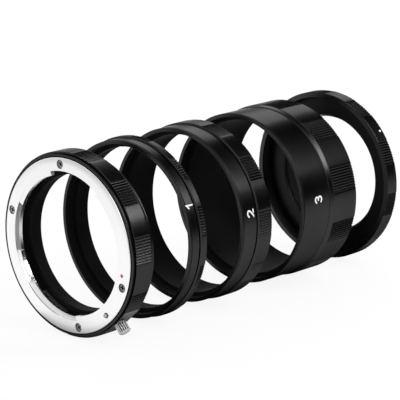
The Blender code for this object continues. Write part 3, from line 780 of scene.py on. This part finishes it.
def screw(name, node, body, face, facing, circle, degrees, head, turn):
    """A pan head with a cross recess; its domed end is at face and looks along facing."""
    dome = [(drop, head * share) for drop, share in HEAD_DOME] + [(HEAD_DEPTH, head)]
    bm = bmesh.new()
    add_turned(bm, [(face - facing * drop, radius) for drop, radius in dome], circle, degrees)
    item = add_piece(name, bm, (SCREW_STEEL, INNER_BLACK_AND_SHADE), body, (node,))
    centre = polar(face, circle, math.radians(degrees))
    size = (CROSS_DEPTH * MM, CROSS_WIDTH * MM, head * CROSS_SHARE * MM)
    for quarter in (0, 1):
        cross = bmesh.new()
        made = bmesh.ops.create_cube(cross, size=1.0)["verts"]
        spin = Matrix.Rotation(turn + quarter * math.pi / 2, 3, "X")
        bmesh.ops.scale(cross, verts=made, vec=size)
        bmesh.ops.rotate(cross, verts=made, matrix=spin)
        bmesh.ops.translate(cross, verts=made, vec=centre)
        # The walls and floor of the cross recess take the matt black as painted shade.
        for side in cross.faces:
            side.material_index = INSIDE_AND_SHADE
        bool_cut(item, plain_mesh("cross", cross))
    smooth(item)


def add_screws():
    for index, (degrees, turn) in enumerate(zip(SCREWS, FLANGE_TURNS), 1):
        screw(f"flange_screw_{index}_dressed", f"lens_flange_screw_{index}", "lens_side",
              FLANGE_HEAD_FACE, -1, SCREW_CIRCLE, degrees, FLANGE_HEAD, turn)
    for index, degrees in enumerate(BAYONET_SCREWS, 1):
        screw(f"bayonet_screw_{index}_dressed", f"camera_bayonet_screw_{index}", "camera_side",
              BAYONET_HEAD_FACE, 1, BAYONET_CIRCLE, degrees, BAYONET_HEAD,
              BAYONET_TURN * (index - 1))


LEAF_ANGLES = (85, 205, 325)
LEAF_HALF_SPAN, LEAF_STEPS, LEAF_BOW = 14, 24, 0.28
LEAF_SECTION = ((3.72, 25.12), (3.72, 24.9), (5.18, 24.9), (5.18, 25.12))


def leaf_spring(index, degrees):
    """A thin leaf behind the lugs, bowed towards the middle between its two ends."""
    bm = bmesh.new()
    rows = []
    for i in range(LEAF_STEPS + 1):
        t = i / LEAF_STEPS * 2 - 1
        angle = math.radians(degrees + LEAF_HALF_SPAN * t)
        bow = LEAF_BOW * math.cos(t * math.pi / 2)
        rows.append([bm.verts.new(polar(x, r - bow, angle)) for x, r in LEAF_SECTION])
    skin(bm, rows)
    node = f"bayonet_spring_{index}"
    add_piece(node + "_dressed", bm, (SPRING_STEEL,), "lens_side", (node,))


KNOB_PLACE = 3.8
KNURLS = 16
KNURL_DEPTH = 0.4
COLUMNS_PER_KNURL = 8
# Height from the axis and radius; the knurled side runs from row 4 to row 5
KNOB_PROFILE = ((29.3, 0.0), (29.3, 0.78), (30.62, 0.78), (30.62, 1.9), (30.8, 2.12), (33.75, 2.12),
                (34.1, 1.85), (34.36, 1.5), (34.36, 0.9), (34.28, 0.8), (34.28, 0.0))
KNURLED_ROW, KNURLED_RADIUS = 4, 2


def release_knob():
    """The short silver knob: a stem, straight knurls with painted shade in their grooves, and a
    chamfered end.
    """
    segments = KNURLS * COLUMNS_PER_KNURL
    centre = polar(KNOB_PLACE, 0, 0)
    out = Vector((0, -math.sin(FLAT_ANGLE), math.cos(FLAT_ANGLE)))
    side = Vector((0, -math.cos(FLAT_ANGLE), -math.sin(FLAT_ANGLE)))
    along = Vector((1, 0, 0))
    bm = bmesh.new()
    rows = []
    for height, radius in KNOB_PROFILE:
        if radius == 0:
            rows.append([bm.verts.new(centre + out * height * MM)] * segments)
            continue
        depth = KNURL_DEPTH if radius > KNURLED_RADIUS else 0.0
        row = []
        for k in range(segments):
            turn = TAU * k / segments
            reach = radius - depth * (0.5 + 0.5 * math.cos(turn * KNURLS))
            offset = (along * math.cos(turn) + side * math.sin(turn)) * reach
            row.append(bm.verts.new(centre + (out * height + offset) * MM))
        rows.append(row)
    faces = skin(bm, rows)
    # The faces at the bottom of each knurl groove take the matt black as painted shade.
    for k in range(segments):
        if math.cos(TAU * (k + 0.5) / COLUMNS_PER_KNURL) > 0:
            faces[KNURLED_ROW * segments + k].material_index = INSIDE_AND_SHADE
    add_piece("release_knob_dressed", bm, (KNOB_STEEL, INNER_BLACK_AND_SHADE), "release",
              ("release_knob",), SHARP_KNOB)


RIM_DOT = (132.5, math.radians(50))
RIM_DOT_PROFILE = ((30.9, 0.45), (31.02, 0.45), (31.05, 0.45 * 0.85))
RIM_DOT_STEPS = 32


def white_rim_dot():
    """The white mark for the camera side, a disc let into the rim."""
    place, angle = RIM_DOT
    turns = [TAU * k / RIM_DOT_STEPS for k in range(RIM_DOT_STEPS)]
    bm = bmesh.new()
    skin(bm, [[bm.verts.new(polar(place + size * math.cos(turn), height,
                                  angle + size * math.sin(turn) / height)) for turn in turns]
              for height, size in RIM_DOT_PROFILE])
    add_piece("camera_index_dot_dressed", bm, (WHITE_FILL,), "camera_side",
              ("camera_index_dot",))


# Length against radius of the red dot and of the lock pin
RED_DOT_PROFILE = ((0.02, 0), (0.03, 0.45), (0.1, 0.6), (0.35, 0.6))
LOCK_PIN_PROFILE = ((-0.88, 0), (-0.86, 0.3), (-0.75, 0.52), (-0.55, 0.68), (1.98, 0.68))


def paint_hidden_nodes():
    """The spring and slider in their pocket keep their CAD shapes."""
    for node, material in (("release_spring", SPRING_STEEL), ("release_slider", SCREW_STEEL)):
        kept = bpy.data.objects[node]
        kept.data.materials.clear()
        kept.data.materials.append(material)


# Floor, light and camera

FLOOR_SIZE, FLOOR_DROP, FLOOR_SHARE = 30.0, 0.00005, 0.9
WORLD_STRENGTH, WORLD_SHARE = 0.85, 1.0
FRONT_RIGHT = (0.66, -0.75, 0)
# Level of the floor's painted shade far to the left, and of the dim surround to the left
LEFT_LEVEL = 0.5

# Where the floor that reflections see starts to brighten out of its painted shadow and painted shade,
# and is bright, in metres
SHADOW_BESIDE_ROW, SHADOW_AHEAD_OF_ROW = (0.013, 0.028), (0.06, 0.09)
SHADE_FAR_FRONT, SHADE_FAR_LEFT = (-0.4, -0.04), (-0.6, -0.12)

# Where the surround that reflections see starts to dim and is dim, as parts of a direction
HIGH_UP, BEYOND, TO_RIGHT = (0.52, 0.68), (0.25, 0.5), (0.67, 0.77)
TO_FRONT_RIGHT, TO_LEFT = (0.45, 0.75), (0.4, 0.7)


def stage():
    """A white floor; reflections see a painted shadow under the row, and painted shade far in front
    of it and far to its left.
    """
    bm = bmesh.new()
    bmesh.ops.create_grid(bm, x_segments=1, y_segments=1, size=FLOOR_SIZE)
    mesh = bpy.data.meshes.new("floor")
    bm.to_mesh(mesh)
    bm.free()
    floor = bpy.data.objects.new("floor", mesh)
    bpy.context.scene.collection.objects.link(floor)
    floor.location.z = -FLOOR_DROP
    material, shader, nodes = new_material("floor_white")
    set_inputs(shader, {"Base Color": (0.9, 0.9, 0.9, 1), "Roughness": 0.9,
                        "Specular IOR Level": 0.1})
    x, y, _ = nodes.parts(nodes.add("ShaderNodeTexCoord").outputs["Object"])
    shadow_beside = nodes.remap(nodes.calc("ABSOLUTE", y), *SHADOW_BESIDE_ROW, 0.0, 1.0)
    ahead = nodes.remap(nodes.calc("MULTIPLY", x, -1.0), *SHADOW_AHEAD_OF_ROW, 0.0, 1.0)
    front = nodes.remap(y, *SHADE_FAR_FRONT, 0.0, 1.0)
    left = nodes.remap(x, *SHADE_FAR_LEFT, LEFT_LEVEL, 1.0)
    # Painted shadow and shade for reflections: dark under the row, bright beside or ahead of it,
    # dimmer far in front and far to the left.
    painted_shadow_fade = nodes.calc("MULTIPLY", nodes.calc("MAXIMUM", shadow_beside, ahead), front)
    level = nodes.calc("MULTIPLY", painted_shadow_fade, left)
    nodes.show(shader, nodes.add("ShaderNodeEmission"), level, FLOOR_SHARE, "Material Output")
    mesh.materials.append(material)


def world():
    """A white studio: plain light, with a white surround that is dim at top right and front right."""
    studio = bpy.data.worlds.new("studio")
    bpy.context.scene.world = studio
    studio.use_nodes = True
    nodes = Nodes(studio.node_tree)
    where = nodes.add("ShaderNodeTexCoord").outputs["Generated"]
    x, _, z = nodes.parts(where)
    front_right = nodes.add("ShaderNodeVectorMath", operation="DOT_PRODUCT")
    front_right.inputs[1].default_value = FRONT_RIGHT
    nodes.link(where, front_right.inputs[0])
    high = nodes.remap(z, *HIGH_UP, 1.0, 0.0)
    beyond = nodes.remap(x, *BEYOND, 1.0, 0.0)
    right = nodes.remap(x, *TO_RIGHT, 1.0, 0.0)
    front = nodes.remap(front_right.outputs["Value"], *TO_FRONT_RIGHT, 1.0, 0.0)
    left = nodes.remap(nodes.calc("MULTIPLY", x, -1.0), *TO_LEFT, 1.0, LEFT_LEVEL)
    sides = nodes.calc("MINIMUM", left, nodes.calc("MINIMUM", right, front))
    level = nodes.calc("MINIMUM", nodes.calc("MAXIMUM", high, beyond), sides)
    plain = studio.node_tree.nodes["Background"]
    set_inputs(plain, {"Color": WHITE, "Strength": WORLD_STRENGTH})
    nodes.show(plain, nodes.add("ShaderNodeBackground"), level, WORLD_SHARE, "World Output")


# Name, place and size in metres, and power in watts
SOFTBOXES = (("front_softbox", (0.38, -0.47, 0.55), (0.17, 0.48), 2.3),
             ("left_softbox", (-0.9, -0.35, 0.45), (0.6, 0.6), 1.5),
             ("back_softbox", (0.62, 0.46, 0.49), (0.38, 0.38), 1.9))
ROW_MIDDLE = Vector((0, 0, 0.03))


def softbox(name, place, size, power):
    """A softbox that looks at the middle of the row."""
    data = bpy.data.lights.new(name, "AREA")
    data.shape = "RECTANGLE"
    data.size, data.size_y = size
    data.energy = power
    lamp = bpy.data.objects.new(name, data)
    bpy.context.scene.collection.objects.link(lamp)
    lamp.location = place
    lamp.rotation_euler = (ROW_MIDDLE - Vector(place)).to_track_quat("-Z", "Y").to_euler()


CAMERA_FROM_ROW = (-0.44765, -0.4818, 0.19025)
CAMERA_AZIMUTH, CAMERA_ELEVATION = math.radians(46.69), math.radians(15.05)


def camera():
    """The photograph's camera, placed from the lens flange and the axis, in metres."""
    data = bpy.data.cameras.new("camera")
    data.sensor_width = 36
    data.lens = 189.15
    data.shift_y = 0.013
    view = bpy.data.objects.new("camera", data)
    bpy.context.scene.collection.objects.link(view)
    view.location = Vector((SHIFT, 0, AXIS_Z)) + Vector(CAMERA_FROM_ROW)
    level = math.cos(CAMERA_ELEVATION)
    ahead = Vector((math.sin(CAMERA_AZIMUTH) * level, math.cos(CAMERA_AZIMUTH) * level,
                    -math.sin(CAMERA_ELEVATION)))
    view.rotation_euler = ahead.to_track_quat("-Z", "Y").to_euler()
    bpy.context.scene.camera = view


# The whole set

lens_ring()
for tube in TUBES:
    number_tube(*tube)
camera_ring()
add_numbers()
lens_flange()
camera_bayonet()
add_screws()
small_turned("lens_index_dot", "lens_side", RED_DOT_PROFILE, *RED_DOT, RED_FILL, "red_mark")
small_turned("lock_pin", "release", LOCK_PIN_PROFILE, *PIN, PIN_NICKEL, "silver_knob")
for leaf, leaf_angle in enumerate(LEAF_ANGLES, 1):
    leaf_spring(leaf, leaf_angle)
release_knob()
white_rim_dot()
paint_hidden_nodes()

stage()
world()
for lamp_settings in SOFTBOXES:
    softbox(*lamp_settings)
camera()
bpy.context.scene.view_settings.view_transform = "Standard"
